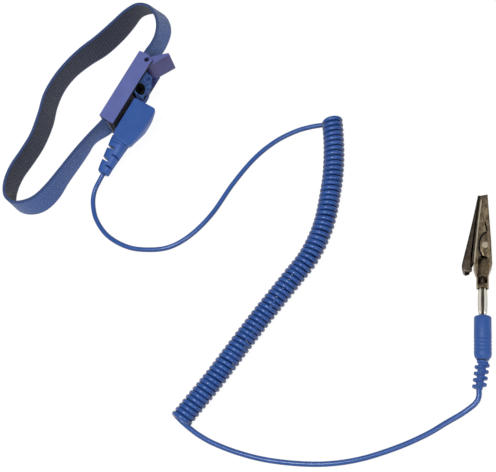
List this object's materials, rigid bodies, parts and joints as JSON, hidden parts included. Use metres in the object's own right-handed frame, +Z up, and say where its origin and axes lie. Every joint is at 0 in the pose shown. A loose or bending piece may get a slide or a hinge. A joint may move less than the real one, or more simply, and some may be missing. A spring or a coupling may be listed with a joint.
{
  "type": "esd wrist strap",
  "caption": "Adjustable elastic wrist strap with a lever clasp, snap plug, coiled earthing cord, banana plug and spring clip.",
  "frame": {"origin": "centre of the underside of the band and clasp, on the floor that the strap stands and the cord lies on", "axes": "+X along the clasp towards its lever, +Y from the clasp into the wrist loop, +Z up across the band's width"},
  "size_m": [0.2174, 0.2969, 0.019],
  "materials": {
    "elastic_band": "woven elastic, matt",
    "clasp_plastic": "moulded plastic, satin",
    "stainless_steel": "brushed",
    "steel_pin": "drawn wire",
    "nickel_plate": "bright nickel plate",
    "blue_pvc": "moulded PVC, satin",
    "cord_jacket": "extruded jacket, glossy",
    "brass": "stamped brass",
    "resistor": "lacquered",
    "aged_nickel": "worn nickel plate"
  },
  "bodies": {
    "cord": {"plug_housing": "blue_pvc", "plug_base": "blue_pvc", "resistor_body": "resistor", "resistor_lead_a": "nickel_plate", "resistor_lead_b": "nickel_plate", "crimp_ferrule": "brass", "plug_strain_relief": "blue_pvc", "cord_snap_end": "cord_jacket", "cord_coil": "cord_jacket", "cord_clip_end": "cord_jacket", "clip_strain_relief": "blue_pvc", "banana_boot": "blue_pvc", "banana_pin": "nickel_plate"},
    "snap": {"snap_socket": "brass", "socket_spring": "steel_pin"},
    "wristband": {"band_loop": "elastic_band", "band_fixed_hem": "elastic_band", "band_tail_hem": "elastic_band", "clasp_body": "clasp_plastic", "skin_plate": "stainless_steel", "anchor_pin": "steel_pin", "lever_pin": "steel_pin", "snap_stud": "nickel_plate", "stud_rivet": "nickel_plate"},
    "lever": {"clasp_lever": "clasp_plastic"},
    "leaves": {"banana_leaves": "nickel_plate"},
    "clip": {"clip_fixed_jaw": "aged_nickel", "clip_barrel": "aged_nickel", "clip_rivet": "aged_nickel", "clip_spring": "steel_pin"},
    "clip_jaw": {"clip_moving_jaw": "aged_nickel"}
  },
  "joints": [
    {"name": "snap_swivel", "type": "hinge", "parent": "cord", "child": "snap", "pos_m": [0.00193, -0.02853, 0.0095], "axis": [0, 1, 0], "range_deg": [-75, 75]},
    {"name": "snap_release", "type": "slide", "parent": "snap", "child": "wristband", "axis": [0, 1, 0], "range_m": [0, 0.008]},
    {"name": "lever_close", "type": "hinge", "parent": "wristband", "child": "lever", "pos_m": [0.03463, -0.01973, 0.0095], "axis": [0, 0, 1], "range_deg": [-128, 12]},
    {"name": "clip_turn", "type": "hinge", "parent": "cord", "child": "leaves", "pos_m": [-0.01654, -0.24793, 0.0046], "axis": [0.9164, 0.4003, 0], "continuous": true},
    {"name": "clip_release", "type": "slide", "parent": "leaves", "child": "clip", "axis": [0.9164, 0.4003, 0], "range_m": [0, 0.012]},
    {"name": "jaw_open", "type": "hinge", "parent": "clip", "child": "clip_jaw", "pos_m": [0.01079, -0.2373, 0.0046], "axis": [0, 0, 1], "range_deg": [0, 18], "stiffness_Nm_per_rad": 0.15, "springref_deg": -20.05}
  ]
}
